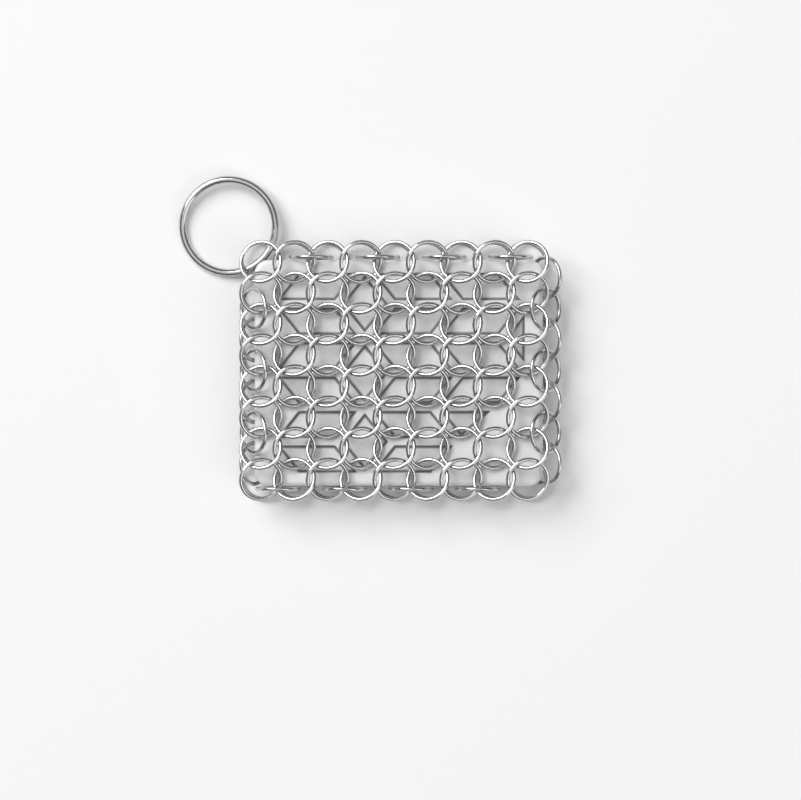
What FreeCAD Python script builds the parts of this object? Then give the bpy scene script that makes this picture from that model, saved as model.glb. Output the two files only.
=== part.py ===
"""Pot scrubber: two sheets of linked steel rings closed round a moulded silicone core.

The pad lies flat on z = 0 with the origin under the middle of the core, columns along X and rows along Y.
One big ring hangs from the back sheet's corner ring at the top left.
"""
import FreeCAD
import Part
import Sketcher
import math
import os

Vector = FreeCAD.Vector

# Driving sizes in millimetres and degrees. A share is a part of the size that its comment names.
SIZES = {
    # Mail rings
    "wire_diameter": 1.2,
    "ring_inner": 10.7,
    "ring_gap": 0.1,
    "ring_lean": 20,
    "columns": 9,
    "rows": 8,
    "row_pitch_share": 0.932,  # of the column pitch
    # Core and the room that the mail leaves it
    "core_thickness": 4,
    "core_corner": 4,
    "core_edge": 1.6,
    "seat_gap": 0.15,
    "left_margin_share": 0.148,  # of a ring's outer diameter, as are the next three
    "right_margin_share": 0.346,
    "top_margin_share": 0.046,
    "bottom_margin_share": 0.146,
    # Moulded pockets between the core's ribs
    "rib_width": 2,
    "pocket_depth": 1.2,
    "pocket_draft": 8,
    "chevron_step_share": 0.235,  # of the core's length
    "chevron_swing_share": 0.0965,  # of the core's length
    "pocket_row_share": 0.1526,  # of the core's width
    # Upright rings that close the long edges
    "closing_gap": 0.3,
    "closing_lift": 1.15,
    # Tilted rings that close the short edges
    "seam_gap": 0.4,
    "left_seam_tilt": 53,
    "left_rise_share": 0.334,  # of a ring's radius
    "right_seam_tilt": 46,
    "right_rise_share": 0.248,  # of a ring's radius
    # Hanging ring
    "hanging_wire": 2.2,
    "hanging_inner": 25,
    "hanging_heading": 132,
    "hanging_roll": 6,
    "hanging_reach_share": 0.1,  # of a mail ring's radius
}

# Sizes that follow from the driving ones, as expressions over the sheet.
RADIUS = "(Sizes.ring_inner + Sizes.wire_diameter) / 2"
OUTER = "(Sizes.ring_inner + 2 * Sizes.wire_diameter)"
PITCH = f"({OUTER} + Sizes.ring_gap) / sqrt(1 + Sizes.row_pitch_share ^ 2)"
ROW_PITCH = f"{PITCH} * Sizes.row_pitch_share"
SHEET_DROP = f"({RADIUS} * sin(Sizes.ring_lean * 1 deg) + Sizes.wire_diameter / 2)"
SHEET_HEIGHT = f"(Sizes.core_thickness / 2 + Sizes.seat_gap + {SHEET_DROP})"
CORE_LENGTH = f"(Sizes.columns - 1) * {PITCH} + (Sizes.left_margin_share + Sizes.right_margin_share) * {OUTER}"
CORE_WIDTH = f"(Sizes.rows - 1) * {ROW_PITCH} + (Sizes.top_margin_share + Sizes.bottom_margin_share) * {OUTER}"
CLOSING_RADIUS = f"{SHEET_HEIGHT} + Sizes.closing_lift"
HANGING_RADIUS = "(Sizes.hanging_inner + Sizes.hanging_wire) / 2"

# The core's zigzag ribs: place along X in chevron steps, and the way each swings on odd pocket rows.
ZIGZAG_SHARES = (-1.5, -0.5, -0.5, 0.5, 1.5)
ZIGZAG_TURNS = (-1, -1, 1, 1, 1)
POCKET_ROWS = 6


def make_sheet(doc):
    """Write the driving sizes to a sheet, one named cell each."""
    sheet = doc.addObject("Spreadsheet::Sheet", "Sizes")
    for row, (name, size) in enumerate(SIZES.items(), start=1):
        sheet.set(f"A{row}", name)
        sheet.set(f"B{row}", str(size))
        sheet.setAlias(f"B{row}", name)
    doc.recompute()
    return sheet


def value(sheet, expression):
    """The number that an expression over the sheet stands for."""
    result = sheet.evalExpression(expression)
    return float(getattr(result, "Value", result))


class Layout:
    """Places of the pad, measured from the core's middle, worked out from the sheet."""

    def __init__(self, sheet):
        self.sheet = sheet
        self.columns = int(sheet.columns)
        self.rows = int(sheet.rows)
        self.pitch = value(sheet, PITCH)
        self.row_pitch = value(sheet, ROW_PITCH)
        self.radius = value(sheet, RADIUS)
        self.outer = value(sheet, OUTER)
        self.wire = sheet.wire_diameter
        self.height = value(sheet, SHEET_HEIGHT)
        self.floor = self.height + value(sheet, SHEET_DROP)
        self.length = value(sheet, CORE_LENGTH)
        self.width = value(sheet, CORE_WIDTH)

    def x(self, column):
        return -self.length / 2 + self.sheet.left_margin_share * self.outer + column * self.pitch

    def y(self, row):
        return self.width / 2 - self.sheet.top_margin_share * self.outer - row * self.row_pitch

    def place(self, centre, normal):
        """A ring's placement, lifted so that the pad's lowest rings touch the floor."""
        lifted = centre + Vector(0, 0, self.floor)
        return FreeCAD.Placement(lifted, FreeCAD.Rotation(Vector(0, 0, 1), normal))


def add_ring(doc, name, radius, wire, placement):
    """One closed ring of round wire."""
    ring = doc.addObject("Part::Torus", name)
    ring.setExpression("Radius1", radius)
    ring.setExpression("Radius2", f"{wire} / 2")
    ring.Placement = placement
    return ring


def add_group(doc, name, rings):
    """Rings that stay separate solids under one node."""
    group = doc.addObject("Part::Compound", name)
    group.Links = rings
    group.Label = name
    return group


def mail_row(doc, layout, face, row):
    """One row of a sheet. Neighbours lean opposite ways about the lattice's diagonal, so each links with four."""
    side = 1 if face == "front" else -1
    lean = math.radians(layout.sheet.ring_lean)
    diagonal = math.hypot(layout.pitch, layout.row_pitch)
    across = Vector(-layout.row_pitch, side * layout.pitch, 0) / diagonal * math.sin(lean)
    rings = []
    for column in range(layout.columns):
        turn = 1 if (column + row) % 2 == 0 else -1
        centre = Vector(layout.x(column), layout.y(row), side * layout.height)
        normal = Vector(0, 0, side * math.cos(lean)) + across * turn
        name = f"{face}_ring_{row + 1}_{column + 1}"
        rings.append(add_ring(doc, name, RADIUS, "Sizes.wire_diameter", layout.place(centre, normal)))
    return add_group(doc, f"{face}_mail_row_{row + 1}", rings)


def closing_rings(doc, layout, edge):
    """Upright rings along a long edge. Each takes two neighbours of the front sheet and two of the back."""
    side = 1 if edge == "top" else -1
    first = 1 if edge == "top" else 0
    y = side * (layout.width / 2 + layout.sheet.closing_gap + layout.wire / 2)
    rings = []
    for column in range(first, layout.columns - 1, 2):
        centre = Vector(layout.x(column) + layout.pitch / 2, y, 0)
        name = f"{edge}_closing_ring_{column + 1}"
        placement = layout.place(centre, Vector(0, 1, 0))
        rings.append(add_ring(doc, name, CLOSING_RADIUS, "Sizes.wire_diameter", placement))
    return add_group(doc, f"{edge}_closing_rings", rings)


def seam_rings(doc, layout, edge, face):
    """Tilted rings down a short edge. Those of one face take its edge rings, and link with the other face's."""
    sheet = layout.sheet
    side = 1 if edge == "right" else -1
    level = 1 if face == "front" else -1
    tilt = math.radians(value(sheet, f"Sizes.{edge}_seam_tilt"))
    rise = value(sheet, f"Sizes.{edge}_rise_share * {RADIUS}")
    half = sheet.core_thickness / 2
    reach = (half + layout.wire / 2 + sheet.seam_gap - rise * math.cos(tilt)) / math.sin(tilt)
    x = side * (layout.length / 2 - half + reach)
    normal = Vector(side * math.sin(tilt), 0, level * math.cos(tilt))
    # The hanging ring's corner leaves no room for the left seam's first ring.
    first = {("right", "back"): 0, ("left", "back"): 2}.get((edge, face), 1)
    rings = []
    for row in range(first, layout.rows - 1, 2):
        centre = Vector(x, layout.y(row) - layout.row_pitch / 2, level * rise)
        name = f"{edge}_seam_ring_{row + 1}"
        placement = layout.place(centre, normal)
        rings.append(add_ring(doc, name, RADIUS, "Sizes.wire_diameter", placement))
    return add_group(doc, f"{edge}_seam_{face}_rings", rings)


def hanging_ring(doc, layout):
    """The big ring. It passes through the back sheet's corner ring, leans on it and rests on the floor."""
    sheet = layout.sheet
    radius = value(sheet, HANGING_RADIUS)
    heading = math.radians(sheet.hanging_heading)
    roll = math.radians(sheet.hanging_roll)
    outward = Vector(math.cos(heading), math.sin(heading), 0)
    hinge = Vector(outward.y, -outward.x, 0)
    distance = radius + sheet.hanging_reach_share * layout.radius
    # The hinge line joins the two points where the rings' circles cross in plan.
    arm = (radius ** 2 - layout.radius ** 2 + distance ** 2) / (2 * distance)
    level = sheet.hanging_wire / 2 + radius * math.sin(roll)
    corner = Vector(layout.x(0), layout.y(0), level)
    pivot = corner + outward * (distance - arm)
    normal = Vector(0, 0, math.cos(roll)) + hinge * -math.sin(roll)
    turned = FreeCAD.Rotation(Vector(0, 0, 1), normal)
    placement = FreeCAD.Placement(pivot + outward * arm, turned)
    print("hanging ring hinge", [round(v, 4) for v in pivot], "axis", [round(v, 6) for v in hinge])
    print("hanging ring centre", [round(v, 4) for v in placement.Base], "normal", [round(v, 5) for v in normal])
    return add_ring(doc, "hanging_ring", HANGING_RADIUS, "Sizes.hanging_wire", placement)


def plane(body, role):
    """One of the body's own origin planes."""
    return next(item for item in body.Origin.OriginFeatures if item.Role == role)


def outline_sketch(body, layout):
    """A rectangle about the origin, as long and wide as the core."""
    sketch = body.newObject("Sketcher::SketchObject", "core_outline")
    sketch.AttachmentSupport = (plane(body, "XY_Plane"), "")
    sketch.MapMode = "FlatFace"
    x = layout.length / 2
    y = layout.width / 2
    corners = [Vector(-x, -y, 0), Vector(x, -y, 0), Vector(x, y, 0), Vector(-x, y, 0)]
    add_polygon(sketch, corners)
    for side in range(4):
        sketch.addConstraint(Sketcher.Constraint("Coincident", side, 2, (side + 1) % 4, 1))
    for side in (0, 2):
        sketch.addConstraint(Sketcher.Constraint("Horizontal", side))
        sketch.addConstraint(Sketcher.Constraint("Vertical", side + 1))
    sketch.addConstraint(Sketcher.Constraint("Symmetric", 0, 1, 1, 2, -1, 1))
    length = sketch.addConstraint(Sketcher.Constraint("DistanceX", 0, 1, 0, 2, layout.length))
    width = sketch.addConstraint(Sketcher.Constraint("DistanceY", 1, 1, 1, 2, layout.width))
    sketch.setExpression(f"Constraints[{length}]", CORE_LENGTH)
    sketch.setExpression(f"Constraints[{width}]", CORE_WIDTH)
    return sketch


def add_polygon(sketch, corners):
    """A closed run of straight lines."""
    for start, end in zip(corners, corners[1:] + corners[:1]):
        sketch.addGeometry(Part.LineSegment(start, end), False)


def inset(corners, margin):
    """A convex polygon, corners anticlockwise, with every side moved inwards by the margin."""
    count = len(corners)
    normals = []
    for start, end in zip(corners, corners[1:] + corners[:1]):
        along = (end - start).normalize()
        normals.append(Vector(-along.y, along.x, 0))
    moved = []
    for index in range(count):
        before = normals[index - 1]
        after = normals[index]
        moved.append(corners[index] + (before + after) * (margin / (1 + before.dot(after))))
    return moved


def pocket_outlines(layout):
    """The cells between the core's straight and zigzag ribs."""
    sheet = layout.sheet
    step = sheet.chevron_step_share * layout.length
    swing = sheet.chevron_swing_share * layout.length
    row_step = sheet.pocket_row_share * layout.width

    def node(zigzag, row):
        turn = ZIGZAG_TURNS[zigzag] if row % 2 else 0
        return Vector(ZIGZAG_SHARES[zigzag] * step + turn * swing, (POCKET_ROWS / 2 - row) * row_step, 0)

    cells = []
    # Herringbone columns, the last of them four rows long.
    for zigzag, row_count in ((0, POCKET_ROWS), (2, POCKET_ROWS), (3, POCKET_ROWS - 2)):
        for row in range(row_count):
            top = (node(zigzag + 1, row), node(zigzag, row))
            cells.append([*top, node(zigzag, row + 1), node(zigzag + 1, row + 1)])
    # Diamonds in the middle, where two zigzags meet on even rows.
    for row in range(0, POCKET_ROWS, 2):
        cells.append([node(1, row), node(1, row + 1), node(1, row + 2), node(2, row + 1)])
    # Two triangles finish the last column: one points down, and one has an upright side.
    low = POCKET_ROWS - 2
    cells.append([node(4, low), node(3, low), node(3, low + 1)])
    cells.append([node(4, 1), node(4, 2), node(4, 3)])
    return [inset(cell, sheet.rib_width / 2) for cell in cells]


def pocket_sketch(body, layout):
    """The pockets' outlines on the core's upper face."""
    sketch = body.newObject("Sketcher::SketchObject", "pocket_outlines")
    sketch.AttachmentSupport = (plane(body, "XY_Plane"), "")
    sketch.MapMode = "FlatFace"
    sketch.setExpression("AttachmentOffset.Base.z", "Sizes.core_thickness / 2")
    for outline in pocket_outlines(layout):
        add_polygon(sketch, outline)
    return sketch


def corner_edges(shape, layout):
    """The upright edges of the padded core."""
    names = []
    for number, edge in enumerate(shape.Edges, start=1):
        box = edge.BoundBox
        if box.ZLength > layout.sheet.core_thickness / 2:
            names.append(f"Edge{number}")
    return names


def rim_edges(shape, layout):
    """The edges round the core's two faces."""
    names = []
    for number, edge in enumerate(shape.Edges, start=1):
        if edge.BoundBox.ZLength < layout.sheet.core_thickness / 2:
            names.append(f"Edge{number}")
    return names


def silicone_core(doc, layout):
    """The moulded core: a rounded slab with the same pockets in both faces."""
    body = doc.addObject("PartDesign::Body", "silicone_core")
    body.Label = "silicone_core"
    slab = body.newObject("PartDesign::Pad", "slab")
    slab.Profile = outline_sketch(body, layout)
    slab.SideType = "Symmetric"
    slab.setExpression("Length", "Sizes.core_thickness")
    doc.recompute()

    corners = body.newObject("PartDesign::Fillet", "corners")
    corners.Base = (slab, corner_edges(slab.Shape, layout))
    corners.setExpression("Radius", "Sizes.core_corner")
    doc.recompute()

    rims = body.newObject("PartDesign::Fillet", "rims")
    rims.Base = (corners, rim_edges(corners.Shape, layout))
    rims.setExpression("Radius", "Sizes.core_edge")
    doc.recompute()

    pockets = body.newObject("PartDesign::Pocket", "pockets")
    pockets.Profile = pocket_sketch(body, layout)
    pockets.setExpression("Length", "Sizes.pocket_depth")
    pockets.setExpression("TaperAngle", "-Sizes.pocket_draft * 1 deg")
    doc.recompute()

    other_face = body.newObject("PartDesign::Mirrored", "other_face")
    other_face.Originals = [pockets]
    other_face.MirrorPlane = (plane(body, "XY_Plane"), [""])
    body.Tip = other_face
    body.Placement.Base = Vector(0, 0, layout.floor)
    doc.recompute()
    print("core", round(rims.Shape.Volume), round(pockets.Shape.Volume), round(body.Shape.Volume))
    return body


def check(doc, nodes):
    """Stop if any object failed or any node is not made of valid solids."""
    failed = [item.Name for item in doc.Objects if {"Invalid", "Error"} & set(item.State)]
    if failed:
        raise RuntimeError(f"failed objects: {failed}")
    for node in nodes:
        shape = node.Shape
        if shape.isNull() or not shape.isValid() or not shape.Solids:
            raise RuntimeError(f"bad shape: {node.Label}")


def main():
    doc = FreeCAD.newDocument("pot_scrubber")
    layout = Layout(make_sheet(doc))
    nodes = [silicone_core(doc, layout), hanging_ring(doc, layout)]
    for face in ("front", "back"):
        for row in range(layout.rows):
            nodes.append(mail_row(doc, layout, face, row))
        for edge in ("left", "right"):
            nodes.append(seam_rings(doc, layout, edge, face))
    for edge in ("top", "bottom"):
        nodes.append(closing_rings(doc, layout, edge))
    doc.recompute()
    check(doc, nodes)
    os.makedirs("parts", exist_ok=True)
    for node in nodes:
        node.Shape.exportStep(f"parts/{node.Label}.step")
    print(len(nodes), "nodes,", sum(len(node.Shape.Solids) for node in nodes), "solids")


main()
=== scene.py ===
"""Looks of the pot scrubber: bright steel mail round a pale silicone core, seen square on from above."""

import math
import random
from collections import namedtuple

import bmesh
import bpy
import numpy as np
from mathutils import Matrix, Vector


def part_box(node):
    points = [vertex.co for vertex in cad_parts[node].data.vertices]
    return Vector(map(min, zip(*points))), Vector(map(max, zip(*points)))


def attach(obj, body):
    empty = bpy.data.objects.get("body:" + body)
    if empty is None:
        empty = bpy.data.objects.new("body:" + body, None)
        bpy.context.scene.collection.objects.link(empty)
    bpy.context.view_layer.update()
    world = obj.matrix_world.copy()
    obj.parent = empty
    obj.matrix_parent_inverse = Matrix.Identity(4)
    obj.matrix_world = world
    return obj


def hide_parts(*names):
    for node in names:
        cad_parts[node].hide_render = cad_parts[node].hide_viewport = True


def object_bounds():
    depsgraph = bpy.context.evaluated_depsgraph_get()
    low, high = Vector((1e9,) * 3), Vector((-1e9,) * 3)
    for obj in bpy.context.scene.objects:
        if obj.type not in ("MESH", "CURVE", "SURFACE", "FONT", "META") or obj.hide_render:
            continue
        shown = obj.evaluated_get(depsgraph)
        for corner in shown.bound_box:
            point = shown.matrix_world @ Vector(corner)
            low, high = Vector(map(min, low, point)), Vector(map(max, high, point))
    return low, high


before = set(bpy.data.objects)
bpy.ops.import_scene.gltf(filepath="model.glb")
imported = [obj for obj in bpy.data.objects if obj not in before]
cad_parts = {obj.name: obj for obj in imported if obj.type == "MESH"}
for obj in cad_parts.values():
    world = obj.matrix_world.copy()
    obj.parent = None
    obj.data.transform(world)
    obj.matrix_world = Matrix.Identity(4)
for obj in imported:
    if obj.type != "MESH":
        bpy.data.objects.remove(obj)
cad_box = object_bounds()

MM = 0.001
QUARTER_TURN = math.pi / 2
FULL_TURN = 2 * math.pi
UP = Vector((0, 0, 1))

# View: the photograph's width in real size, and the point that its middle shows.
VIEW_WIDTH = 232.5 * MM
VIEW_CENTRE = Vector((0.5 * MM, -7.87 * MM, 0))
CAMERA_LENS = 300

# Studio: floor and lamps in metres and watts, and the world's grey from straight down to straight up.
FLOOR_SIZE = 40.0
FLOOR_PALE = (0.95, 0.95, 0.95, 1)
FLOOR_ROUGHNESS = 0.85
FLOOR_GLOSS = 0.1
KEY_SIZE = 2.4
KEY_POWER = 115.0
KEY_PLACE = Vector((-2.0, 1.7, 2.6))
FILL_SIZE = 2.4
FILL_POWER = 32.0
FILL_PLACE = Vector((2.6, -1.6, 2.6))
WORLD_STOPS = (
    (0.0, (0.85, 0.85, 0.85, 1)),
    (0.53, (0.85, 0.85, 0.85, 1)),
    (0.57, (0.05, 0.05, 0.055, 1)),
    (0.75, (0.07, 0.07, 0.075, 1)),
    (0.9, (0.30, 0.30, 0.305, 1)),
    (1.0, (1.0, 1.0, 1.0, 1)),
)

# Noise patterns: how many finer layers they have, and how much each layer counts beside the one before.
FEW_LAYERS = 2.0
SOME_LAYERS = 3.0
MANY_LAYERS = 4.0
SOFT_LAYER_SHARE = 0.5
CRISP_LAYER_SHARE = 0.6

# Steel wire: linear colours, patterns per metre, and what each mark adds to roughness and relief.
STEEL_BRIGHT = (0.63, 0.63, 0.63, 1)
STEEL_GREY = (0.47, 0.475, 0.48, 1)
STEEL_STRAW = (0.52, 0.45, 0.35, 1)
STEEL_ROUGHNESS = 0.13
STEEL_BUMP_STRENGTH = 0.22
STEEL_BUMP_DEPTH = 0.05 * MM
WEAR_PER_METRE = 160.0
WEAR_RANGE = (0.35, 0.7)
WEAR_COLOUR_SHARE = 0.8
WEAR_ROUGHNESS = 0.05
SCUFFS_PER_METRE = 900.0
SCUFF_RANGE = (0.45, 0.75)
SCUFF_ROUGHNESS = 0.16
DEEP_SCUFF_RANGE = (0.5, 0.8)
DEEP_SCUFF_RELIEF = -0.4
LINE_RELIEF = 0.5

# Lines from drawing the wire: the pattern's steps along a ring, and round its wire.
MAIL_LINES = (9.0, 14.0, 1.0)
HANGING_LINES = (16.0, 20.0, 1.0)

# The weld of each ring, as shares of the way round it.
WELD_SEED = 11
WELD_PLACE_SHARE = 0.5
WELD_WIDTH_SHARE = 0.018
WELD_ROUGHNESS = 0.12
WELD_RELIEF = 0.9
TINT_WIDTH_SHARE = 0.05
TINT_COLOUR_SHARE = 0.25

# Silicone, in the same terms as the steel.
SILICONE_PALE = (0.87, 0.87, 0.855, 1)
SILICONE_SHADE = (0.80, 0.80, 0.785, 1)
SILICONE_ROUGHNESS = 0.46
SILICONE_GLOSS = 0.4
SILICONE_BUMP_STRENGTH = 0.18
SILICONE_BUMP_DEPTH = 0.06 * MM
SCATTER_SHARE = 0.12
SCATTER_REACH_SHARES = (1.0, 0.95, 0.9)
SCATTER_DEPTH = 1.5 * MM
CLOUDS_PER_METRE = 70.0
CLOUD_RANGE = (0.4, 0.72)
CLOUD_RELIEF = 0.6
GRAINS_PER_METRE = 2600.0
GRAIN_ROUGHNESS = 0.16
PARTING_WIDTH = 0.14 * MM
PARTING_ROUGHNESS = -0.12
PARTING_RELIEF = 2.5

# Painted shade in the core's pockets, darkening them as if shadowed: most in the creases, little on the
# floors, broken up by patches.
RECESS = "recess"
PAINTED_SHADE_DARK = (0.16, 0.16, 0.158, 1)
PAINTED_SHADE_RANGE = (0.08, 0.9)
PAINTED_SHADE_COLOUR_SHARE = 0.92
PAINTED_SHADE_ROUGHNESS = 0.1
PATCHES_PER_METRE = 420.0
PATCH_MIDDLE = 0.5
PATCH_SHARE = 0.3
CREASE_WIDTH = 0.6 * MM
FLOOR_PAINTED_SHADE_SHARE = 0.12
LEVEL_TOLERANCE = 0.01 * MM

# Rings: a coarse cage that subdivision rounds off.
WIRE_SIDES = 6
RING_STEPS = 12
RING_SUBDIVISIONS = 2
MERGE_DISTANCE = 0.0005 * MM
SORTING_STEP = 0.1 * MM

# Silicone core, in the same sizes and shares as the moulded slab.
CORE_LOW, CORE_HIGH = (Vector(corner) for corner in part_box("silicone_core"))
CORE_SIZE = CORE_HIGH - CORE_LOW
CORE_MIDDLE = (CORE_LOW + CORE_HIGH) / 2
CORE_CORNER = 4 * MM
CORE_CORNER_SEGMENTS = 10
CORE_EDGE = 1.6 * MM
CORE_EDGE_SEGMENTS = 6
RIB_WIDTH = 2 * MM
POCKET_DEPTH = 1.2 * MM
POCKET_DRAFT_ANGLE = math.radians(8)
POCKET_DRAFT = POCKET_DEPTH * math.tan(POCKET_DRAFT_ANGLE)
POCKET_OVERRUN = 1 * MM
POCKET_ROUNDING = 0.35 * MM
POCKET_ROUNDING_SEGMENTS = 3
SHARP_ANGLE = math.radians(35)
CHEVRON_STEP_SHARE = 0.235
CHEVRON_SWING_SHARE = 0.0965
POCKET_ROW_SHARE = 0.1526
POCKET_ROWS = 6
ZIGZAG_SHARES = (-1.5, -0.5, -0.5, 0.5, 1.5)
ZIGZAG_TURNS = (-1, -1, 1, 1, 1)


class Value:
    """A shader socket that takes part in sums."""

    def __init__(self, shader, socket):
        self.shader = shader
        self.socket = socket

    def _math(self, operation, first, second=0):
        return self.shader.node("ShaderNodeMath", {"operation": operation}, {0: first, 1: second})

    def __add__(self, other):
        return self._math("ADD", self, other)

    __radd__ = __add__

    def __sub__(self, other):
        return self._math("SUBTRACT", self, other)

    def __rsub__(self, other):
        return self._math("SUBTRACT", other, self)

    def __mul__(self, other):
        return self._math("MULTIPLY", self, other)

    __rmul__ = __mul__

    def __abs__(self):
        return self._math("ABSOLUTE", self)


class Shader:
    """The node tree of a material or of the world, filled by short calls."""

    def __init__(self, owner, surface="Principled BSDF"):
        owner.use_nodes = True
        self.owner = owner
        self.tree = owner.node_tree
        self.surface = self.tree.nodes[surface]

    def node(self, kind, settings=None, sockets=None, output=0):
        """Add a node, set it up, fill its sockets and hand back one output."""
        made = self.tree.nodes.new(kind)
        for name, setting in (settings or {}).items():
            if name == "stops":
                set_stops(made.color_ramp, setting)
            else:
                setattr(made, name, setting)
        for name, given in (sockets or {}).items():
            self.fill(made.inputs[name], given)
        return Value(self, made.outputs[output])

    def fill(self, socket, given):
        if isinstance(given, Value):
            self.tree.links.new(given.socket, socket)
        else:
            socket.default_value = given

    def finish(self, **sockets):
        """Fill the surface shader's sockets by name, with spaces written as underscores."""
        for name, given in sockets.items():
            self.fill(self.surface.inputs[name.replace("_", " ")], given)
        return self.owner

    def place(self, kind="Object"):
        return self.node("ShaderNodeTexCoord", output=kind)

    def part(self, vector, axis):
        return self.node("ShaderNodeSeparateXYZ", sockets={0: vector}, output=axis)

    def stretched(self, vector, scale):
        return self.node("ShaderNodeMapping", sockets={"Vector": vector, "Scale": scale})

    def noise(self, vector, scale, layers=SOME_LAYERS, layer_share=SOFT_LAYER_SHARE):
        sockets = {"Vector": vector, "Scale": scale, "Detail": layers, "Roughness": layer_share}
        return self.node("ShaderNodeTexNoise", sockets=sockets)

    def ramp(self, factor, low, high):
        """Zero below low, one above high."""
        sockets = {"Value": factor, "From Min": low, "From Max": high}
        return self.node("ShaderNodeMapRange", {"clamp": True}, sockets)

    def blend(self, factor, first, second):
        sockets = {"Factor": factor, 6: first, 7: second}
        return self.node("ShaderNodeMix", {"data_type": "RGBA"}, sockets, output=2)

    def bump(self, height, strength, distance):
        sockets = {"Height": height, "Strength": strength, "Distance": distance}
        return self.node("ShaderNodeBump", sockets=sockets)


def set_stops(ramp, stops):
    """Set a colour ramp's stops from (place, colour) pairs."""
    while len(ramp.elements) < len(stops):
        ramp.elements.new(1)
    for element, (place, colour) in zip(ramp.elements, stops):
        element.position = place
        element.color = colour


# Materials

def wire_steel(name, lines_scale):
    """Tumbled stainless wire: fine drawing lines along it, small scuffs, and one weld with a straw tint."""
    shader = Shader(bpy.data.materials.new(name))
    wire = shader.place("UV")
    place = shader.place()
    from_weld = abs(shader.part(wire, "X") - WELD_PLACE_SHARE)
    weld = 1 - shader.ramp(from_weld, 0, WELD_WIDTH_SHARE)
    tint = 1 - shader.ramp(from_weld, WELD_WIDTH_SHARE, TINT_WIDTH_SHARE)
    lines = shader.noise(shader.stretched(wire, lines_scale), 1, FEW_LAYERS)
    scuffs = shader.noise(place, SCUFFS_PER_METRE, MANY_LAYERS, CRISP_LAYER_SHARE)
    worn = shader.ramp(shader.noise(place, WEAR_PER_METRE, FEW_LAYERS), *WEAR_RANGE)

    colour = shader.blend(worn * WEAR_COLOUR_SHARE, STEEL_BRIGHT, STEEL_GREY)
    colour = shader.blend(tint * TINT_COLOUR_SHARE, colour, STEEL_STRAW)
    roughness = STEEL_ROUGHNESS + shader.ramp(scuffs, *SCUFF_RANGE) * SCUFF_ROUGHNESS
    roughness = roughness + worn * WEAR_ROUGHNESS + weld * WELD_ROUGHNESS
    deep_scuffs = shader.ramp(scuffs, *DEEP_SCUFF_RANGE)
    height = lines * LINE_RELIEF + deep_scuffs * DEEP_SCUFF_RELIEF + weld * WELD_RELIEF
    normal = shader.bump(height, STEEL_BUMP_STRENGTH, STEEL_BUMP_DEPTH)
    return shader.finish(Base_Color=colour, Metallic=1, Roughness=roughness, Normal=normal)


def moulded_silicone():
    """Matt pale silicone: mould grain, a parting line, faint clouding, and painted shade in the pockets."""
    shader = Shader(bpy.data.materials.new("moulded_silicone"))
    place = shader.place()
    # Painted shade: the pockets darken with depth, most in the creases, read from the recess attribute.
    recess = shader.node("ShaderNodeAttribute", {"attribute_name": RECESS}, output="Fac")
    patches = shader.noise(place, PATCHES_PER_METRE)
    painted_shade = shader.ramp(recess + (patches - PATCH_MIDDLE) * PATCH_SHARE, *PAINTED_SHADE_RANGE)
    painted_shade = painted_shade * PAINTED_SHADE_COLOUR_SHARE
    from_middle = abs(shader.part(place, "Z") - CORE_MIDDLE.z)
    parting = 1 - shader.ramp(from_middle, PARTING_WIDTH / 2, PARTING_WIDTH)
    grain = shader.noise(place, GRAINS_PER_METRE, layer_share=CRISP_LAYER_SHARE)
    cloud = shader.noise(place, CLOUDS_PER_METRE)

    colour = shader.blend(shader.ramp(cloud, *CLOUD_RANGE), SILICONE_PALE, SILICONE_SHADE)
    # Blend in the painted shade of the pockets.
    colour = shader.blend(painted_shade, colour, PAINTED_SHADE_DARK)
    roughness = SILICONE_ROUGHNESS + grain * GRAIN_ROUGHNESS
    roughness = roughness + painted_shade * PAINTED_SHADE_ROUGHNESS + parting * PARTING_ROUGHNESS
    height = grain + cloud * CLOUD_RELIEF + parting * PARTING_RELIEF
    return shader.finish(
        Base_Color=colour,
        Roughness=roughness,
        Normal=shader.bump(height, SILICONE_BUMP_STRENGTH, SILICONE_BUMP_DEPTH),
        Subsurface_Weight=SCATTER_SHARE,
        Subsurface_Radius=SCATTER_REACH_SHARES,
        Subsurface_Scale=SCATTER_DEPTH,
        Specular_IOR_Level=SILICONE_GLOSS,
    )


def pale_floor():
    shader = Shader(bpy.data.materials.new("pale_floor"))
    return shader.finish(Base_Color=FLOOR_PALE, Roughness=FLOOR_ROUGHNESS, Specular_IOR_Level=FLOOR_GLOSS)


# Objects

def loose_object(name, mesh):
    """Make an object of a bmesh, which is used up."""
    data = bpy.data.meshes.new(name)
    mesh.to_mesh(data)
    mesh.free()
    made = bpy.data.objects.new(name, data)
    bpy.context.scene.collection.objects.link(made)
    return made


def finish_piece(name, mesh, material, body, node):
    """Make a piece of a bmesh, dress it and stand it in for its CAD node."""
    piece = loose_object(name, mesh)
    piece.data.materials.append(material)
    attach(piece, body)
    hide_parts(node)
    return piece


# Rings

RingPose = namedtuple("RingPose", "centre axis radius wire_radius")


def ring_points(node):
    """The points of each separate ring of a CAD node."""
    mesh = bmesh.new()
    mesh.from_mesh(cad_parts[node].data)
    bmesh.ops.remove_doubles(mesh, verts=mesh.verts, dist=MERGE_DISTANCE)
    seen = set()
    rings = []
    for first in mesh.verts:
        if first in seen:
            continue
        seen.add(first)
        front = [first]
        ring = []
        while front:
            vertex = front.pop()
            ring.append(vertex.co[:])
            linked = [edge.other_vert(vertex) for edge in vertex.link_edges]
            fresh = [other for other in linked if other not in seen]
            seen.update(fresh)
            front.extend(fresh)
        rings.append(np.array(ring))
    mesh.free()
    return rings


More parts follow.
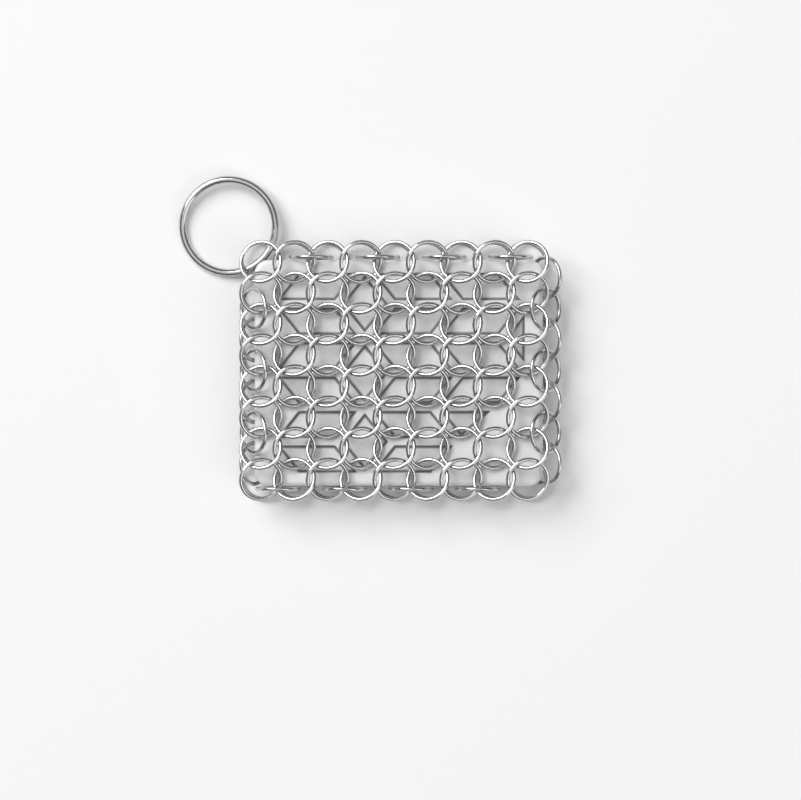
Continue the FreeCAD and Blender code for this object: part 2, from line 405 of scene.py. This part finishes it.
def fit_ring(points):
    """The middle of a ring's points, the line that they lie flattest along, and the two radii about it."""
    centre = (points.max(axis=0) + points.min(axis=0)) / 2
    offsets = points - centre
    axis = np.linalg.svd(offsets, full_matrices=False)[2][2]
    axis = axis * np.sign(axis[np.argmax(np.abs(axis))])
    reach = np.linalg.norm(offsets - np.outer(offsets @ axis, axis), axis=1)
    radius = (reach.max() + reach.min()) / 2
    return RingPose(Vector(centre), Vector(axis), radius, reach.max() - radius)


def sorting_place(pose):
    return [round(part / SORTING_STEP) for part in pose.centre]


def limit_shrink(count):
    """How far subdivision draws a regular polygon of that many corners in towards its middle."""
    return (2 + math.cos(FULL_TURN / count)) / 3


def add_ring(mesh, layer, pose, spin):
    """Spin a wire section into a closed ring, map it along and round the wire, and put it in place."""
    others = {*mesh.verts, *mesh.edges, *mesh.faces}
    reach = pose.radius / limit_shrink(RING_STEPS)
    section = pose.wire_radius / limit_shrink(WIRE_SIDES)
    widened = Matrix.Scale(reach / pose.radius, 4, (1, 0, 0))
    upright = Matrix.Translation((reach, 0, 0)) @ widened @ Matrix.Rotation(QUARTER_TURN, 4, "X")
    made = bmesh.ops.create_circle(mesh, segments=WIRE_SIDES, radius=section, matrix=upright)
    edges = [edge for edge in mesh.edges if edge not in others]
    bmesh.ops.spin(
        mesh, geom=made["verts"] + edges, cent=(0, 0, 0), axis=UP, angle=FULL_TURN,
        steps=RING_STEPS, use_merge=True, use_duplicate=False)
    vertices = [vertex for vertex in mesh.verts if vertex not in others]
    faces = [face for face in mesh.faces if face not in others]
    bmesh.ops.recalc_face_normals(mesh, faces=faces)
    for face in faces:
        face.smooth = True
        map_wire(face, layer, reach)
    turn = UP.rotation_difference(pose.axis).to_matrix().to_4x4()
    matrix = Matrix.Translation(pose.centre) @ turn @ Matrix.Rotation(spin, 4, "Z")
    bmesh.ops.transform(mesh, matrix=matrix, verts=vertices)


def map_wire(face, layer, reach):
    """UV of one face before it is placed: the share of the way along the wire, and round it."""
    def angles(point):
        return math.atan2(point.y, point.x), math.atan2(point.z, point.xy.length - reach)

    def way_share(angle, middle):
        nearest = middle + (angle - middle + math.pi) % FULL_TURN - math.pi
        return (nearest + math.pi) / FULL_TURN

    middles = angles(face.calc_center_median())
    for loop in face.loops:
        loop[layer].uv = [way_share(*pair) for pair in zip(angles(loop.vert.co), middles)]


def ring_piece(node, material, body, chance):
    """All rings of one CAD node as one piece, each welded at its own place round."""
    mesh = bmesh.new()
    layer = mesh.loops.layers.uv.new("wire")
    poses = [fit_ring(points) for points in ring_points(node)]
    for pose in sorted(poses, key=sorting_place):
        add_ring(mesh, layer, pose, chance.uniform(0, FULL_TURN))
    piece = finish_piece(f"{node}_wire", mesh, material, body, node)
    rounding = piece.modifiers.new("rounding", "SUBSURF")
    rounding.levels = RING_SUBDIVISIONS
    rounding.render_levels = RING_SUBDIVISIONS


# Silicone core, made about the origin and then put in place

def inset(corners, margin):
    """A convex polygon, corners anticlockwise, with every side moved inwards by the margin."""
    normals = []
    for start, end in zip(corners, corners[1:] + corners[:1]):
        along = (end - start).normalized()
        normals.append(Vector((-along.y, along.x, 0)))
    moved = []
    for index, corner in enumerate(corners):
        before = normals[index - 1]
        after = normals[index]
        moved.append(corner + (before + after) * (margin / (1 + before.dot(after))))
    return moved


def rib_crossing(zigzag, row):
    """Where the middle of a zigzag rib meets the middle of a straight one."""
    turn = ZIGZAG_TURNS[zigzag] if row % 2 else 0
    x_share = ZIGZAG_SHARES[zigzag] * CHEVRON_STEP_SHARE + turn * CHEVRON_SWING_SHARE
    y_share = (POCKET_ROWS / 2 - row) * POCKET_ROW_SHARE
    return Vector((x_share * CORE_SIZE.x, y_share * CORE_SIZE.y, 0))


def pocket_outlines():
    """The cells between the core's straight and zigzag ribs, with corners noted as (zigzag, row)."""
    cells = []
    for zigzag, rows in ((0, POCKET_ROWS), (2, POCKET_ROWS), (3, POCKET_ROWS - 2)):
        for row in range(rows):
            cells.append([(zigzag + 1, row), (zigzag, row), (zigzag, row + 1), (zigzag + 1, row + 1)])
    for row in range(0, POCKET_ROWS, 2):
        cells.append([(1, row), (1, row + 1), (1, row + 2), (2, row + 1)])
    low = POCKET_ROWS - 2
    cells.append([(4, low), (3, low), (3, low + 1)])
    cells.append([(4, 1), (4, 2), (4, 3)])
    return [inset([rib_crossing(*place) for place in cell], RIB_WIDTH / 2) for cell in cells]


def rise(edge):
    return abs(edge.verts[0].co.z - edge.verts[1].co.z)


def slab_mesh():
    """A slab with round corners and round rims."""
    mesh = bmesh.new()
    bmesh.ops.create_cube(mesh, size=1)
    bmesh.ops.scale(mesh, vec=CORE_SIZE, verts=mesh.verts)
    upright = [edge for edge in mesh.edges if rise(edge) > CORE_SIZE.z / 2]
    bmesh.ops.bevel(
        mesh, geom=upright, offset=CORE_CORNER, offset_type="OFFSET", affect="EDGES",
        segments=CORE_CORNER_SEGMENTS, profile=0.5, material=-1)
    rims = [edge for edge in mesh.edges if rise(edge) < CORE_SIZE.z / 2]
    bmesh.ops.bevel(
        mesh, geom=rims, offset=CORE_EDGE, offset_type="OFFSET", affect="EDGES",
        segments=CORE_EDGE_SEGMENTS, profile=0.5, material=-1)
    return mesh


def pocket_cutters():
    """Drafted blocks that cut the same pockets into both faces."""
    mesh = bmesh.new()
    floor_rise = UP * (CORE_SIZE.z / 2 - POCKET_DEPTH)
    mouth_rise = UP * (CORE_SIZE.z / 2 + POCKET_OVERRUN)
    for outline in pocket_outlines():
        bottom = inset(outline, POCKET_DRAFT)
        mouth = inset(outline, -POCKET_DRAFT * POCKET_OVERRUN / POCKET_DEPTH)
        lower = mesh.faces.new([mesh.verts.new(point + floor_rise) for point in bottom])
        upper = mesh.faces.new([mesh.verts.new(point + mouth_rise) for point in mouth])
        bmesh.ops.bridge_loops(mesh, edges=list(lower.edges) + list(upper.edges))
    copy = bmesh.ops.duplicate(mesh, geom=mesh.verts[:] + mesh.edges[:] + mesh.faces[:])
    copied = [item for item in copy["geom"] if isinstance(item, bmesh.types.BMVert)]
    bmesh.ops.scale(mesh, vec=(1, 1, -1), verts=copied)
    bmesh.ops.recalc_face_normals(mesh, faces=mesh.faces)
    return mesh


def mark_painted_shade(mesh):
    """Write where the pockets get painted shade: most in the creases, little on the floors, none on ribs
    and rims.
    """
    layer = mesh.verts.layers.float.new(RECESS)
    floor_level = CORE_SIZE.z / 2 - POCKET_DEPTH
    levels = [(face, abs(face.calc_center_median().z)) for face in mesh.faces]
    floors = [face for face, level in levels if abs(level - floor_level) < LEVEL_TOLERANCE]
    bmesh.ops.inset_region(
        mesh, faces=floors, thickness=CREASE_WIDTH, use_boundary=True, use_even_offset=True)
    inner_x = CORE_SIZE.x / 2 - CORE_CORNER
    inner_y = CORE_SIZE.y / 2 - CORE_EDGE
    # Painted shade grows with depth below the rib tops.
    for vertex in mesh.verts:
        inside = abs(vertex.co.x) < inner_x and abs(vertex.co.y) < inner_y
        depth = CORE_SIZE.z / 2 - abs(vertex.co.z)
        vertex[layer] = depth / POCKET_DEPTH if inside else 0
    for face in floors:
        for vertex in face.verts:
            vertex[layer] = FLOOR_PAINTED_SHADE_SHARE


def core_piece(material):
    """The slab with its pockets cut and its ribs' edges rounded, at the CAD core's place."""
    slab = loose_object("slab", slab_mesh())
    cutters = loose_object("cutters", pocket_cutters())
    cut = slab.modifiers.new("cut", "BOOLEAN")
    cut.operation = "DIFFERENCE"
    cut.solver = "EXACT"
    cut.object = cutters
    rounding = slab.modifiers.new("rounding", "BEVEL")
    rounding.width = POCKET_ROUNDING
    rounding.segments = POCKET_ROUNDING_SEGMENTS
    rounding.limit_method = "ANGLE"
    rounding.angle_limit = SHARP_ANGLE
    shaped = bpy.data.meshes.new_from_object(slab.evaluated_get(bpy.context.evaluated_depsgraph_get()))
    mesh = bmesh.new()
    mesh.from_mesh(shaped)
    mark_painted_shade(mesh)
    bmesh.ops.translate(mesh, vec=CORE_MIDDLE, verts=mesh.verts)
    for face in mesh.faces:
        face.smooth = True
    for spare in (slab, cutters):
        bpy.data.objects.remove(spare)
    piece = finish_piece("core_moulding", mesh, material, "pad", "silicone_core")
    piece.data.set_sharp_from_angle(angle=SHARP_ANGLE)


# Stage

def make_camera():
    data = bpy.data.cameras.new("camera")
    data.lens = CAMERA_LENS
    camera = bpy.data.objects.new("camera", data)
    distance = VIEW_WIDTH * data.lens / data.sensor_width
    middle = (cad_box[0].z + cad_box[1].z) / 2
    camera.location = VIEW_CENTRE + UP * (middle + distance)
    bpy.context.scene.collection.objects.link(camera)
    bpy.context.scene.camera = camera


def make_world():
    """A plain studio: pale horizon, dark walls, bright ceiling, so that round wire shows its edges."""
    shader = Shader(bpy.data.worlds.new("studio"), "Background")
    height = shader.ramp(shader.part(shader.place("Generated"), "Z"), -1, 1)
    colour = shader.node("ShaderNodeValToRGB", {"stops": WORLD_STOPS}, {0: height})
    bpy.context.scene.world = shader.finish(Color=colour)


def soft_light(name, place, size, power):
    lamp = bpy.data.lights.new(name, "AREA")
    lamp.shape = "SQUARE"
    lamp.size = size
    lamp.energy = power
    holder = bpy.data.objects.new(name, lamp)
    holder.location = place
    holder.rotation_euler = (-place).to_track_quat("-Z", "Y").to_euler()
    bpy.context.scene.collection.objects.link(holder)


def make_floor(material):
    mesh = bmesh.new()
    bmesh.ops.create_grid(mesh, x_segments=1, y_segments=1, size=FLOOR_SIZE / 2)
    floor = loose_object("floor", mesh)
    floor.location.z = cad_box[0].z
    floor.data.materials.append(material)


# Assembly

make_camera()
make_world()
soft_light("key", KEY_PLACE, KEY_SIZE, KEY_POWER)
soft_light("fill", FILL_PLACE, FILL_SIZE, FILL_POWER)
make_floor(pale_floor())
bpy.context.scene.view_settings.view_transform = "Standard"

chance = random.Random(WELD_SEED)
mail_steel = wire_steel("mail_steel", MAIL_LINES)
hanging_steel = wire_steel("hanging_steel", HANGING_LINES)
for node in sorted(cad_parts):
    if node == "silicone_core":
        core_piece(moulded_silicone())
    elif node == "hanging_ring":
        ring_piece(node, hanging_steel, "hanging_ring", chance)
    else:
        ring_piece(node, mail_steel, "pad", chance)
